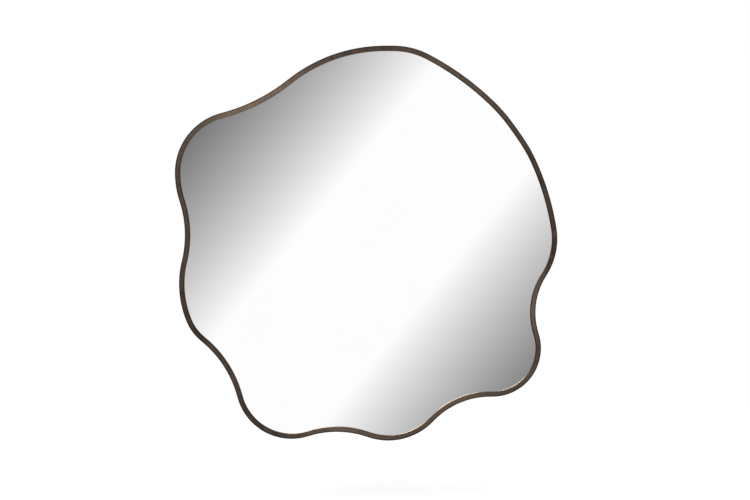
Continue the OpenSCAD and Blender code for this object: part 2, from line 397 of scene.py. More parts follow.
def pad_scratches(tree, run):
    """The scratches that the pad leaves across the rim's run."""
    # They are 0.3 mm apart on the real rim and are drawn at 1.6 mm, so that they show
    across = add(tree, "Mapping", {"Vector": run, "Scale": (per_mm(1.6), per_mm(14), 1)})
    return add(tree, "TexNoise", {
        "Vector": across.outputs["Vector"], "Scale": 1.0, "Detail": 3.0}).outputs["Fac"]


# %% The rubbed coat and its painted sheen
FULL_COAT = "#2F2822"
BARE_OR_SHEEN_BRONZE = "#7A6859"
RED_BROWN = "#5E4536"
# Clouds and scratches each move the wear and painted sheen by this much, down or up
BREAK_UP = 0.08
# Wear and painted sheen are in even steps to the eye, and this power makes shares of light of them
WEAR_AND_SHEEN_TO_LIGHT = 1.4
RED_AT_MOST = 0.4


def rubbed_coat_and_sheen(tree, scratches):
    """The colour of a brown coat, rubbed back and lit with painted sheen as far as the wear and sheen
    attribute says.
    """
    place = add(tree, "TexCoord").outputs["Object"]
    worn_or_sheen = add(tree, "Attribute", attribute_name="wear_and_sheen").outputs["Fac"]
    # Clouds in the coat, about 45 mm across
    clouds = add(tree, "TexNoise", {"Vector": place, "Scale": per_mm(45), "Detail": 4.0}).outputs["Fac"]
    moves = [
        add(tree, "MapRange", {
            "Value": pattern, "From Min": NOISE_LOW, "From Max": NOISE_HIGH,
            "To Min": -BREAK_UP, "To Max": BREAK_UP}).outputs["Result"]
        for pattern in (clouds, scratches)
    ]
    broken = add(tree, "Math", {0: moves[0], 1: moves[1]})
    # Painted sheen: where the attribute comes from the sheen's bearing, the bare bronze colour stands for
    # light
    bare_or_sheen = add(tree, "Math", {0: worn_or_sheen, 1: broken.outputs["Value"]}, use_clamp=True)
    share = add(tree, "Math", {0: bare_or_sheen.outputs["Value"], 1: WEAR_AND_SHEEN_TO_LIGHT}, operation="POWER")
    colour = add(tree, "Mix", {
        BLEND: share.outputs["Value"], FIRST: linear(FULL_COAT), SECOND: linear(BARE_OR_SHEEN_BRONZE),
    }, data_type="RGBA").outputs[MIXED]
    # Here and there the coat went on redder, in patches of 20 mm where this noise is high
    patches = add(tree, "TexNoise", {"Vector": place, "Scale": per_mm(20), "Detail": 2.0})
    red = add(tree, "MapRange", {
        "Value": patches.outputs["Fac"], "From Min": 0.5, "From Max": 0.75, "To Max": RED_AT_MOST})
    return add(tree, "Mix", {
        BLEND: red.outputs["Result"], FIRST: colour, SECOND: linear(RED_BROWN),
    }, data_type="RGBA").outputs[MIXED]


# %% [markdown]
# Both margins of the face are drawn darker: this is painted shade, for the darker surroundings that their
# rounded edges would reflect and the shade beside the glass. Beside the inner arris the painted shade is
# thinner where the arris has its painted highlight. A place's inset is V of the UV map, so two ramps over V
# draw the margins' painted shade, and a third one draws the arris.

# %% Painted shade on the margins
# Painted shade, which the face takes near its two edges
MARGIN_SHADE = "#1D1814"
# The outer margin is darkest up to the first of these distances from the outline, and ends at the second
OUTER_MARGIN = (1.0, 3.6)
OUTER_DARK = 0.95
# The inner margin starts at the first of these distances from the glass, and is darkest at the second
INNER_MARGIN = (3.6, 1.4)
INNER_DARK = 0.9
DARK_BESIDE_LIT_ARRIS = 0.15


def paint_margin_shade(tree, inset, arris_highlit, colour):
    """The face's colour with painted shade on its margins, the inner one less where the arris has its painted
    highlight.
    """
    at_outside = add(tree, "MapRange", {
        "Value": inset, "From Min": OUTER_MARGIN[0] * MM, "From Max": OUTER_MARGIN[1] * MM,
        "To Min": OUTER_DARK, "To Max": 0.0,
    }, interpolation_type="SMOOTHSTEP")
    at_inside = add(tree, "MapRange", {
        "Value": inset, "From Min": face_w - INNER_MARGIN[0] * MM,
        "From Max": face_w - INNER_MARGIN[1] * MM,
    }, interpolation_type="SMOOTHSTEP")
    how_dark = add(tree, "MapRange", {
        "Value": arris_highlit, "To Min": INNER_DARK, "To Max": DARK_BESIDE_LIT_ARRIS})
    at_inside = add(tree, "Math", {
        0: at_inside.outputs["Result"], 1: how_dark.outputs["Result"]}, operation="MULTIPLY")
    painted_shade = add(tree, "Math", {
        0: at_outside.outputs["Result"], 1: at_inside.outputs["Value"]}, use_clamp=True)
    return add(tree, "Mix", {
        BLEND: painted_shade.outputs["Value"], FIRST: colour, SECOND: linear(MARGIN_SHADE),
    }, data_type="RGBA").outputs[MIXED]


# %% The bare arris and its painted highlight
# Painted highlight: the arris takes this paler colour where it runs along the sheen's bearing, and the
# margins' painted shade where it runs across
LIT_ARRIS = "#5F574D"
ARRIS_ROUGHNESS = 0.2
# Radii of the rounds that a maker eases the plate's edges to, outside and beside the glass
OUTER_ROUND = 0.5
INNER_ROUND = 1.7
# The arris takes its own finish over this share of its round
ARRIS_FADE = 0.3


def smooth_lit_arris(tree, inset, arris_highlit, colour, roughness):
    """The face's colour and roughness with its inner arris smooth, and painted lighter or darker by its
    painted highlight.
    """
    arris = add(tree, "MapRange", {
        "Value": inset, "From Min": face_w - INNER_ROUND * MM,
        "From Max": face_w - (1 - ARRIS_FADE) * INNER_ROUND * MM}).outputs["Result"]
    arris_colour = add(tree, "Mix", {
        BLEND: arris_highlit, FIRST: linear(MARGIN_SHADE), SECOND: linear(LIT_ARRIS),
    }, data_type="RGBA").outputs[MIXED]
    colour = add(tree, "Mix", {
        BLEND: arris, FIRST: colour, SECOND: arris_colour}, data_type="RGBA").outputs[MIXED]
    roughness = add(tree, "MapRange", {
        "Value": arris, "To Min": roughness, "To Max": ARRIS_ROUGHNESS}).outputs["Result"]
    return colour, roughness


# %% Antiqued bronze
def antiqued_bronze(name, has_margin_shade):
    """Brown-coated bronze with painted sheen, rubbed across its run. Only the rim's face has margins with
    painted shade and a bare arris with a painted highlight.
    """
    made, tree, surface = start_material(
        name, Metallic=1.0, Coat_Weight=0.12, Coat_Roughness=0.35)
    run = add(tree, "UVMap", uv_map="run").outputs["UV"]
    scratches = pad_scratches(tree, run)
    colour = rubbed_coat_and_sheen(tree, scratches)
    roughness = add(tree, "MapRange", {
        "Value": scratches, "From Min": NOISE_LOW, "From Max": NOISE_HIGH,
        "To Min": 0.36, "To Max": 0.48}).outputs["Result"]
    if has_margin_shade:
        inset = add(tree, "SeparateXYZ", {"Vector": run}).outputs["Y"]
        arris_highlit = add(tree, "Attribute", attribute_name="arris_highlight").outputs["Fac"]
        colour = paint_margin_shade(tree, inset, arris_highlit, colour)
        colour, roughness = smooth_lit_arris(tree, inset, arris_highlit, colour, roughness)
    tree.links.new(colour, surface.inputs["Base Color"])
    tree.links.new(roughness, surface.inputs["Roughness"])
    relief = add(tree, "Bump", {"Height": scratches, "Strength": 0.25, "Distance": 0.05 * MM})
    tree.links.new(relief.outputs["Normal"], surface.inputs["Normal"])
    return made


rim_finish = antiqued_bronze("antiqued bronze, rubbed across", True)
band_finish = antiqued_bronze("antiqued bronze, side band", False)
print("finishes:", rim_finish.name, "and", band_finish.name)

# %% [markdown]
# ## The rim's face
#
# The face is a 2 mm plate cut to the wave. A cut edge is sharp, so a maker eases it: a small round outside,
# where hands touch it, and a wider one inside, which catches the light beside the glass. The two walls of
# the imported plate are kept, and bridging their edges gives a front and a back of plain four-sided faces.

# %% Build the rim's face
HIDDEN_ROUND = 0.2
# An edge lies at a depth or an inset when both its ends are within these distances of it
NEAR_DEPTH = 0.1
NEAR_INSET = 0.3


def close_ring(bm):
    """Bridges the two walls of a ring, at its front and at its back."""
    half_way = sum(vert.co.y for vert in bm.verts) / len(bm.verts)
    open_edges = [edge for edge in bm.edges if edge.is_boundary]
    for in_front in (True, False):
        pair = [edge for edge in open_edges if (edge.verts[0].co.y < half_way) == in_front]
        bmesh.ops.bridge_loops(bm, edges=pair)
    bmesh.ops.recalc_face_normals(bm, faces=bm.faces)


def ring_edges(bm, y, inset):
    """The edges that run along a ring at this y and at this inset from the outline."""
    return [
        edge for edge in bm.edges
        if all(abs(v.co.y - y) < NEAR_DEPTH * MM for v in edge.verts)
        and all(abs(run_and_inset(v.co)[1] - inset) < NEAR_INSET * MM for v in edge.verts)
    ]


face = open_ring("face_ring")
close_ring(face)
round_edges(face, ring_edges(face, face_low.y, 0), OUTER_ROUND, 4)
round_edges(face, ring_edges(face, face_low.y, face_w), INNER_ROUND, 4)
round_edges(face, ring_edges(face, face_high.y, face_w), HIDDEN_ROUND, 1)


def unroll_face(inset, place):
    """V over the outer edge, across the face and down inside it, as if the plate were laid flat."""
    depth = place.y - face_low.y
    return inset - depth if inset < face_w / 2 else inset + depth


mark_run(face, unroll_face)
rim_face = finish_piece(face, "rim_face", "mirror", [rim_finish], ["face_ring"])

# %% [markdown]
# ## The side band
#
# Behind the face runs a steel strip on edge, bent to the same wave and welded on. Its back edge is eased
# where it would touch the wall. It takes the same finish with its painted sheen, but its scratches run from
# front to back.

# %% Build the side band
BACK_ROUND = 0.5
band_low, band_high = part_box("side_band")
band = open_ring("side_band")
close_ring(band)
band_t = max(run_and_inset(vert.co)[1] for vert in band.verts)
band_depth = band_high.y - band_low.y
print("side band:", round(band_t / MM, 2), "mm thick,", round(band_depth / MM, 1), "mm deep")
round_edges(band, ring_edges(band, band_high.y, 0), BACK_ROUND, 3)
round_edges(band, ring_edges(band, band_high.y, band_t), BACK_ROUND, 3)
mark_run(band, lambda inset, place: place.y - band_low.y + inset)
finish_piece(band, "rim_side_band", "mirror", [band_finish], ["side_band"])

# %% [markdown]
# ## The pane
#
# The pane is 4 mm float glass with silver on its back. What the eye gets is the silver, so the front is a
# true mirror with a clear coat over it, and a hair of green from the glass. The cut edge is ground to a
# small arris and is greener, and the back is grey paint that guards the silver.

# %% Silver and ground edge
def silvered_front():
    """Silver seen through clear float glass: a perfect mirror with the faintest green cloud."""
    made, tree, surface = start_material(
        "silvered float glass", Metallic=1.0, Roughness=0.0, Coat_Weight=0.5, Coat_Roughness=0.0)
    place = add(tree, "TexCoord").outputs["Object"]
    # The melt varies over some 200 mm, too little to see except against another pane
    melt = add(tree, "TexNoise", {"Vector": place, "Scale": per_mm(200), "Detail": 1.0})
    tint = add(tree, "Mix", {
        BLEND: melt.outputs["Fac"], FIRST: linear("#F9FAF9"), SECOND: linear("#FBFBFB"),
    }, data_type="RGBA").outputs[MIXED]
    tree.links.new(tint, surface.inputs["Base Color"])
    return made


def ground_edge():
    """The pane's edge, ground with a 0.1 mm grit: dull green glass."""
    made, tree, surface = start_material("ground glass edge", IOR=1.52, Transmission_Weight=0.4)
    place = add(tree, "TexCoord").outputs["Object"]
    # The grit is drawn at 0.5 mm, so that it shows
    grit = add(tree, "TexNoise", {"Vector": place, "Scale": per_mm(0.5), "Detail": 2.0})
    colour = add(tree, "Mix", {
        BLEND: grit.outputs["Fac"], FIRST: linear("#5E8A78"), SECOND: linear("#8FB3A4"),
    }, data_type="RGBA").outputs[MIXED]
    tree.links.new(colour, surface.inputs["Base Color"])
    dull = add(tree, "MapRange", {"Value": grit.outputs["Fac"], "To Min": 0.45, "To Max": 0.7})
    tree.links.new(dull.outputs["Result"], surface.inputs["Roughness"])
    return made


mirror_finish = silvered_front()
edge_finish = ground_edge()
print("finishes:", mirror_finish.name, "and", edge_finish.name)


# %% Backing paint
def rolled_paint(name, dark, light, roller_mm):
    """Paint put on with a roller, which leaves a low pebble in it."""
    made, tree, surface = start_material(name, Roughness=0.6)
    place = add(tree, "TexCoord").outputs["Object"]
    pebble = add(tree, "TexNoise", {"Vector": place, "Scale": per_mm(roller_mm), "Detail": 3.0})
    colour = add(tree, "Mix", {
        BLEND: pebble.outputs["Fac"], FIRST: linear(dark), SECOND: linear(light),
    }, data_type="RGBA").outputs[MIXED]
    tree.links.new(colour, surface.inputs["Base Color"])
    relief = add(tree, "Bump", {"Height": pebble.outputs["Fac"], "Strength": 0.3, "Distance": 0.1 * MM})
    tree.links.new(relief.outputs["Normal"], surface.inputs["Normal"])
    return made


guard_paint = rolled_paint("grey mirror backing paint", "#6C6E70", "#7B7D7F", 3)
print("finish:", guard_paint.name)

# %% Build the pane
GLASS_ARRIS = 0.5
# A face is the pane's front or back when this much of its normal lies along the depth
SQUARE_ON = 0.99
pane = merged("mirror_glass")
round_edges(pane, sharp_edges(pane), GLASS_ARRIS, 1)
for pane_face in pane.faces:
    is_front = pane_face.normal.y < -SQUARE_ON
    is_back = pane_face.normal.y > SQUARE_ON
    pane_face.material_index = 0 if is_front else 2 if is_back else 1
finish_piece(pane, "silvered_pane", "mirror",
             [mirror_finish, edge_finish, guard_paint], ["mirror_glass"], smooth_to=30)

# %% [markdown]
# ## Between the pane and the board
#
# Three soft layers lie here: a black foam tape under the rim's face, a clear film on the silver that holds
# the glass together if it breaks, and strips of white foam tape. Only their edges could ever be seen, so
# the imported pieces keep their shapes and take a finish. Closed-cell foam is drawn with cells of 1.5 mm.

# %% Foams and film
def closed_cell_foam(name, dark, light):
    """Foam with closed cells: matt, with a pattern of small pits."""
    made, tree, surface = start_material(name, Roughness=0.85)
    place = add(tree, "TexCoord").outputs["Object"]
    cells = add(tree, "TexVoronoi", {"Vector": place, "Scale": per_mm(1.5)})
    colour = add(tree, "Mix", {
        BLEND: cells.outputs["Distance"], FIRST: linear(dark), SECOND: linear(light),
    }, data_type="RGBA").outputs[MIXED]
    tree.links.new(colour, surface.inputs["Base Color"])
    relief = add(tree, "Bump", {"Height": cells.outputs["Distance"], "Strength": 0.4, "Distance": 0.2 * MM})
    tree.links.new(relief.outputs["Normal"], surface.inputs["Normal"])
    return made


def safety_film_finish():
    """Polythene film with woven glass threads 4 mm apart, glossy and blue-grey."""
    made, tree, surface = start_material("threaded polythene film", Roughness=0.25)
    place = add(tree, "TexCoord").outputs["Object"]
    threads = [
        add(tree, "TexWave", {"Vector": place, "Scale": per_mm(4) / 20, "Distortion": 0.3},
            wave_type="BANDS", bands_direction=way)
        for way in ("X", "Z")
    ]
    weave = add(tree, "Math", {0: threads[0].outputs["Fac"], 1: threads[1].outputs["Fac"]},
                operation="MAXIMUM")
    colour = add(tree, "Mix", {
        BLEND: weave.outputs["Value"], FIRST: linear("#7F939E"), SECOND: linear("#A9B8BF"),
    }, data_type="RGBA").outputs[MIXED]
    tree.links.new(colour, surface.inputs["Base Color"])
    return made


keeps_shape = {
    "glazing_tape": closed_cell_foam("black glazing foam", "#141415", "#262627"),
    "foam_strips": closed_cell_foam("white mounting foam", "#DAD8D0", "#F2F0EA"),
    "safety_film": safety_film_finish(),
}
for node_name, finish in keeps_shape.items():
    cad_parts[node_name].material_slots[0].material = finish
print("finished in place:", ", ".join(keeps_shape))

# %% [markdown]
# ## The backing board
#
# The board is 9 mm fibreboard, dyed black through and sanded. Pressed fibres give it a fine, cloudy felt
# with a few lighter specks, and its sanded edge is a little rounded. Its pilot holes stay, because a copy
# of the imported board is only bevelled.

# %% Dyed fibreboard
def dyed_fibreboard():
    """Black-dyed fibreboard: matt, felted, with pale fibres here and there."""
    made, tree, surface = start_material("black-dyed fibreboard")
    place = add(tree, "TexCoord").outputs["Object"]
    felt = add(tree, "TexNoise", {"Vector": place, "Scale": per_mm(6), "Detail": 6.0, "Roughness": 0.7})
    clouds = add(tree, "TexNoise", {"Vector": place, "Scale": per_mm(90), "Detail": 3.0})
    both = add(tree, "Math", {0: felt.outputs["Fac"], 1: clouds.outputs["Fac"]}, operation="MULTIPLY")
    shade = add(tree, "MapRange", {"Value": both.outputs["Value"], "From Min": 0.12, "From Max": 0.4})
    colour = add(tree, "Mix", {
        BLEND: shade.outputs["Result"], FIRST: linear("#211E1C"), SECOND: linear("#3B3633"),
    }, data_type="RGBA").outputs[MIXED]
    # Single fibres are 0.1 mm thick and up to 4 mm long, and are drawn 0.5 mm thick, so that they show
    lengthwise = add(tree, "Mapping", {"Vector": place, "Scale": (per_mm(4), per_mm(4), per_mm(0.5))})
    fibres = add(tree, "TexNoise", {
        "Vector": lengthwise.outputs["Vector"], "Scale": 1.0, "Detail": 2.0, "Distortion": 1.5})
    pale = add(tree, "MapRange", {
        "Value": fibres.outputs["Fac"], "From Min": 0.66, "From Max": 0.74, "To Min": 0.0, "To Max": 0.5})
    colour = add(tree, "Mix", {
        BLEND: pale.outputs["Result"], FIRST: colour, SECOND: linear("#6B6058"),
    }, data_type="RGBA").outputs[MIXED]
    tree.links.new(colour, surface.inputs["Base Color"])
    dull = add(tree, "MapRange", {"Value": felt.outputs["Fac"], "To Min": 0.6, "To Max": 0.85})
    tree.links.new(dull.outputs["Result"], surface.inputs["Roughness"])
    relief = add(tree, "Bump", {"Height": felt.outputs["Fac"], "Strength": 0.3, "Distance": 0.15 * MM})
    tree.links.new(relief.outputs["Normal"], surface.inputs["Normal"])
    return made


board_finish = dyed_fibreboard()
print("finish:", board_finish.name)

# %% Build the board
SANDED_ROUND = 0.6
# The board's own edge lies nearer to the outline than this, and its pilot holes lie further in
BOARD_EDGE_WITHIN = 6
board = merged("backing_board")
outer_edges = [
    edge for edge in sharp_edges(board)
    if run_and_inset(edge.verts[0].co)[1] < BOARD_EDGE_WITHIN * MM
]
round_edges(board, outer_edges, SANDED_ROUND, 2)
finish_piece(board, "fibre_backing_board", "mirror", [board_finish], ["backing_board"])

# %% [markdown]
# ## Steel finishes
#
# The rest is bent, rolled or turned steel. The tabs are stamped from strip and powder-coated brown. The
# screws, straps and rings are plated, which leaves a bright metal with a soft bloom.

# %% Steel finishes
def powder_coat(name, dark, light):
    """Baked powder paint, with the skin of an orange at 1.2 mm."""
    made, tree, surface = start_material(name, Metallic=0.0, Roughness=0.42)
    place = add(tree, "TexCoord").outputs["Object"]
    peel = add(tree, "TexNoise", {"Vector": place, "Scale": per_mm(1.2), "Detail": 1.0})
    colour = add(tree, "Mix", {
        BLEND: peel.outputs["Fac"], FIRST: linear(dark), SECOND: linear(light),
    }, data_type="RGBA").outputs[MIXED]
    tree.links.new(colour, surface.inputs["Base Color"])
    relief = add(tree, "Bump", {"Height": peel.outputs["Fac"], "Strength": 0.25, "Distance": 0.08 * MM})
    tree.links.new(relief.outputs["Normal"], surface.inputs["Normal"])
    return made


def bright_plating(name, dark, light, grain_mm, low, high):
    """Plated steel: a soft bright metal with a faint crystal bloom, of a roughness from low to high."""
    made, tree, surface = start_material(name, Metallic=1.0)
    place = add(tree, "TexCoord").outputs["Object"]
    bloom = add(tree, "TexNoise", {"Vector": place, "Scale": per_mm(grain_mm), "Detail": 3.0})
    colour = add(tree, "Mix", {
        BLEND: bloom.outputs["Fac"], FIRST: linear(dark), SECOND: linear(light),
    }, data_type="RGBA").outputs[MIXED]
    tree.links.new(colour, surface.inputs["Base Color"])
    dull = add(tree, "MapRange", {"Value": bloom.outputs["Fac"], "To Min": low, "To Max": high})
    tree.links.new(dull.outputs["Result"], surface.inputs["Roughness"])
    return made


tab_finish = powder_coat("brown powder coat", "#5F5143", "#746454")
screw_finish = bright_plating("zinc-plated screw", "#A9A9A4", "#C9C8C2", 2, 0.22, 0.4)
strap_finish = bright_plating("zinc-plated strap", "#ABA9A2", "#CFCDC5", 4, 0.25, 0.45)
ring_finish = bright_plating("nickel-plated wire", "#BDB9B0", "#D6D3CB", 3, 0.14, 0.26)
print("finishes:", ", ".join(made.name for made in (tab_finish, screw_finish, strap_finish, ring_finish)))

# %% [markdown]
# ## The tabs
#
# A tab is a strip bent to an angle, so its outer bend is round and the two corners of its free end are cut
# round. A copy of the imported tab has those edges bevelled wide, and then all its other edges are broken.
# The edges are found by where they lie: the bend is at the back and against the band, and the corners run
# from front to back, far in from the outline.

# %% Build the tabs
TABS = ("right", "lower_right", "bottom", "lower_left", "left", "upper_left", "top", "upper_right")
BEND_ROUND = 1.1
CORNER_ROUND = 3.0
BROKEN = 0.2
# The corners of a tab's free end lie further in than this, past the rim's face
FREE_END_PAST = 5

for side in TABS:
    tab = merged("tab_" + side)
    tab_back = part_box("tab_" + side)[1].y
    corners = [
        edge for edge in sharp_edges(tab)
        if abs(edge.verts[0].co.y - edge.verts[1].co.y) > 0.9 * edge.calc_length()
        and run_and_inset(edge.verts[0].co)[1] > face_w + FREE_END_PAST * MM
    ]
    # The screw's hole has such edges too, if its round wall is read as sharp, so only two may be found
    assert len(corners) == 2, len(corners)
    round_edges(tab, corners, CORNER_ROUND, 6)
    bend = [
        edge for edge in sharp_edges(tab)
        if all(abs(v.co.y - tab_back) < NEAR_DEPTH * MM for v in edge.verts)
        and all(run_and_inset(v.co)[1] < band_t + NEAR_INSET * MM for v in edge.verts)
    ]
    round_edges(tab, bend, BEND_ROUND, 5)
    round_edges(tab, sharp_edges(tab), BROKEN, 2)
    finish_piece(tab, "bent_tab_" + side, "mirror", [tab_finish], ["tab_" + side])

# %% [markdown]
# ## Screws and hangers
#
# These are turned or rolled, and tumbled before they are plated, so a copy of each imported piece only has
# its sharp edges broken.

# %% Break the edges of the screws and hangers
def broken_edges(node_name, name, body, finish, radius, segments=2):
    """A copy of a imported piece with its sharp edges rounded."""
    bm = merged(node_name)
    round_edges(bm, sharp_edges(bm), radius, segments)
    return finish_piece(bm, name, body, [finish], [node_name])


for use in ("tab", "strap", "foot"):
    broken_edges(use + "_screws", "pan_head_screws_" + use, "mirror", screw_finish, 0.08)
for side in ("left", "right"):
    broken_edges("hanger_strap_" + side, "rolled_strap_" + side, "mirror", strap_finish, 0.2)
    broken_edges("d_ring_" + side, "wire_ring_" + side, "ring_" + side, ring_finish, 0.05)

# %% [markdown]
# ## The feet
#
# Four rubber feet keep the rim off the wall. A moulded foot is a solid of revolution, so its half outline
# is spun about its screw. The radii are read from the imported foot. Two grooves round its side let the mould
# grip it, and its lips are rounded, because rubber doesn't fill a sharp corner of its mould.

# %% Moulded rubber
def moulded_rubber():
    """Black moulded rubber with a greyish bloom and a fine mould grain."""
    made, tree, surface = start_material("moulded black rubber", Roughness=0.7)
    place = add(tree, "TexCoord").outputs["Object"]
    bloom = add(tree, "TexNoise", {"Vector": place, "Scale": per_mm(5), "Detail": 4.0})
    colour = add(tree, "Mix", {
        BLEND: bloom.outputs["Fac"], FIRST: linear("#151515"), SECOND: linear("#2A2A2B"),
    }, data_type="RGBA").outputs[MIXED]
    tree.links.new(colour, surface.inputs["Base Color"])
    grain = add(tree, "TexNoise", {"Vector": place, "Scale": per_mm(0.6)})
    relief = add(tree, "Bump", {"Height": grain.outputs["Fac"], "Strength": 0.2, "Distance": 0.05 * MM})
    tree.links.new(relief.outputs["Normal"], surface.inputs["Normal"])
    return made


rubber_finish = moulded_rubber()
print("finish:", rubber_finish.name)

# %% Half outline of a foot
GROOVE_DEPTH = 0.5
GROOVE_HALF = 0.5
GROOVES_AT = (0.35, 0.65)


def half_outline(node_name):
    """The middle of a packed foot, and its half outline with grooves, as pairs of radius and depth."""
    low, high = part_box(node_name)
    centre = (low + high) / 2
    rings = {}
    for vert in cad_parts[node_name].data.vertices:
        radius = math.hypot(vert.co.x - centre.x, vert.co.z - centre.z)
        rings.setdefault(round(vert.co.y, 5), []).append(radius)
    board, wall = min(rings), max(rings)
    # The cone is packed in several rings, and only the well's floor has a hole in it
    floor_at = min((depth for depth in rings if board < depth < wall), key=lambda depth: min(rings[depth]))
    at_board = Vector((max(rings[board]), board))
    at_wall = Vector((max(rings[wall]), wall))
    half_share = GROOVE_HALF * MM / (at_wall - at_board).length
    side = [at_board]
    for share in GROOVES_AT:
        side.append(at_board.lerp(at_wall, share - half_share))
        side.append(at_board.lerp(at_wall, share) - Vector((GROOVE_DEPTH * MM, 0)))
        side.append(at_board.lerp(at_wall, share + half_share))
    well = [(min(rings[wall]), wall), (max(rings[floor_at]), floor_at)]
    hole = [(min(rings[floor_at]), floor_at), (min(rings[board]), board)]
    return centre, [*side, at_wall, *well, *hole]


# %% Spin the feet
SPIN_STEPS = 64
LIP_ROUND = 0.7


def spin_foot(node_name, name):
    """A rubber foot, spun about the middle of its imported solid."""
    centre, half = half_outline(node_name)
    bm = bmesh.new()
    corners = [bm.verts.new((centre.x + radius, depth, centre.z)) for radius, depth in half]
    sides = [bm.edges.new(pair) for pair in zip(corners, corners[1:] + corners[:1])]
    bmesh.ops.spin(
        bm, geom=corners + sides, cent=centre, axis=(0, 1, 0), angle=2 * math.pi,
        steps=SPIN_STEPS, use_merge=True,
    )
    bmesh.ops.remove_doubles(bm, verts=bm.verts, dist=SAME_PLACE)
    bmesh.ops.recalc_face_normals(bm, faces=bm.faces)
    wall = max(depth for radius, depth in half)
    lips = [
        edge for edge in sharp_edges(bm)
        if all(abs(v.co.y - wall) < NEAR_DEPTH * MM for v in edge.verts)
    ]
    round_edges(bm, lips, LIP_ROUND, 4)
    round_edges(bm, sharp_edges(bm), BROKEN, 2)
    return finish_piece(bm, name, "mirror", [rubber_finish], [node_name])


for place_name in ("upper_left", "upper_right", "lower_left", "lower_right"):
    spin_foot("foot_" + place_name, "rubber_foot_" + place_name)

# %% [markdown]
# ## The studio
#
# The photo shows a white void, so the world is white to the camera, to metals and to glass. Its light on
# matt surfaces is lower, and soft lamps give them shape.

# %% The world
WORLD_LIGHT = 0.6

world = bpy.data.worlds.new("white studio")
scene.world = world
world.use_nodes = True
sky = world.node_tree
rays = add(sky, "LightPath").outputs
seen = add(sky, "Math", {0: rays["Is Camera Ray"], 1: rays["Is Glossy Ray"]}, operation="MAXIMUM")
seen = add(sky, "Math", {0: seen.outputs["Value"], 1: rays["Is Transmission Ray"]}, operation="MAXIMUM")
strength = add(sky, "MapRange", {"Value": seen.outputs["Value"], "To Min": WORLD_LIGHT, "To Max": 1.0})
background = sky.nodes["Background"]
background.inputs["Color"].default_value = (1, 1, 1, 1)
sky.links.new(strength.outputs["Result"], background.inputs["Strength"])
print("world: white when seen, and", WORLD_LIGHT, "of white as light on matt surfaces")

# %% [markdown]
# The floor is a pale disc of seamless paper, a little below the mirror, that fades out at its rim. To the
# camera it is a greyer paper that glows a little, so that it meets the white behind it, and it still takes
# a shadow. A pane this sharp would show its far edge, so it isn't there for perfectly sharp reflections.

# %% Seamless paper
FLOOR_RADIUS = 3.2
# The paper's grey as it lights the mirror, and its grey and glow as it is seen
PAPER_GREY = 0.8
SEEN_GREY = 0.5
SEEN_GLOW = 0.52
# The paper fades between these shares of its radius
FADE_FROM = 0.55
FADE_TO = 0.98


def seamless_paper():
    """Pale seamless paper that fades out at its edge and isn't seen in the mirror."""
    made = bpy.data.materials.new("seamless paper")
    made.use_nodes = True
    tree = made.node_tree
    tree.nodes.remove(tree.nodes["Principled BSDF"])
    rays = add(tree, "LightPath").outputs
    paper = add(tree, "BsdfDiffuse", {"Color": (PAPER_GREY, PAPER_GREY, PAPER_GREY, 1)})
    shown = add(tree, "BsdfDiffuse", {"Color": (SEEN_GREY, SEEN_GREY, SEEN_GREY, 1)})
    glow = add(tree, "Emission", {"Color": (1, 1, 1, 1), "Strength": SEEN_GLOW})
    lit = add(tree, "AddShader", {0: shown.outputs[0], 1: glow.outputs[0]})
    seen = add(tree, "Math", {0: rays["Is Camera Ray"], 1: rays["Is Glossy Ray"]}, operation="MAXIMUM")
    by_eye = add(tree, "MixShader", {0: seen.outputs["Value"], 1: paper.outputs[0], 2: lit.outputs[0]})
    clear = add(tree, "BsdfTransparent")
    place = add(tree, "TexCoord").outputs["Object"]
    level = add(tree, "VectorMath", {0: place, 1: (1, 1, 0)}, operation="MULTIPLY")
    far = add(tree, "VectorMath", {0: level.outputs["Vector"]}, operation="LENGTH")
    fade = add(tree, "MapRange", {
        "Value": far.outputs["Value"],
        "From Min": FADE_FROM * FLOOR_RADIUS, "From Max": FADE_TO * FLOOR_RADIUS,
    }, interpolation_type="SMOOTHSTEP")
    gone = add(tree, "Math", {0: fade.outputs["Result"], 1: rays["Is Singular Ray"]}, operation="MAXIMUM")
    mixed = add(tree, "MixShader", {0: gone.outputs["Value"], 1: by_eye.outputs[0], 2: clear.outputs[0]})
    tree.links.new(mixed.outputs[0], tree.nodes["Material Output"].inputs["Surface"])
    return made


paper_finish = seamless_paper()
print("backdrop:", paper_finish.name)

# %% Lay the floor
FLOOR_GAP = 0.15
disc = bmesh.new()
bmesh.ops.create_circle(disc, cap_ends=True, segments=96, radius=FLOOR_RADIUS)
bmesh.ops.translate(disc, verts=disc.verts, vec=(0, 0, cad_low.z - FLOOR_GAP))
floor_mesh = bpy.data.meshes.new("floor")
disc.to_mesh(floor_mesh)
disc.free()
floor_mesh.materials.append(paper_finish)
floor = bpy.data.objects.new("floor", floor_mesh)
scene.collection.objects.link(floor)
print("floor:", FLOOR_RADIUS, "m in radius,", FLOOR_GAP, "m below the mirror")

# %% [markdown]
# ## What the mirror sees
#
# A mirror shows the studio behind the camera. In the photo that is a graded card: a white band that rises
# to the right, falling off to grey on both sides. Here the card is a large half sphere, so that the pane
# has something to show from other angles too. It is there for perfectly sharp reflections only. Metals and
# matt surfaces see the plain white studio.

# %% Measure the card's bands
CARD_RADIUS = 9.0
# Read in the photo: half the white band's width, and how far from its middle the grey is darkest
WHITE_HALF_PX = 69
DARKEST_AT_PX = 245
# A pixel at the mirror is this much wider on the card
spread = 1 + CARD_RADIUS / (cad_high.y - camera.location.y)
white_half = WHITE_HALF_PX * pixel * spread
darkest_at = DARKEST_AT_PX * pixel * spread
print("card: a white band", round(2 * white_half, 2), "m wide, darkest", round(darkest_at, 2), "m off")

# %% The graded card's light
# The bands lie square to this direction, so the white one rises to the right
BAND_NORMAL = Vector((0.777, 0, -0.629))
DARKEST = 0.36
TONE_TO_LIGHT = 2.2
CARD_STRENGTH = 1.02


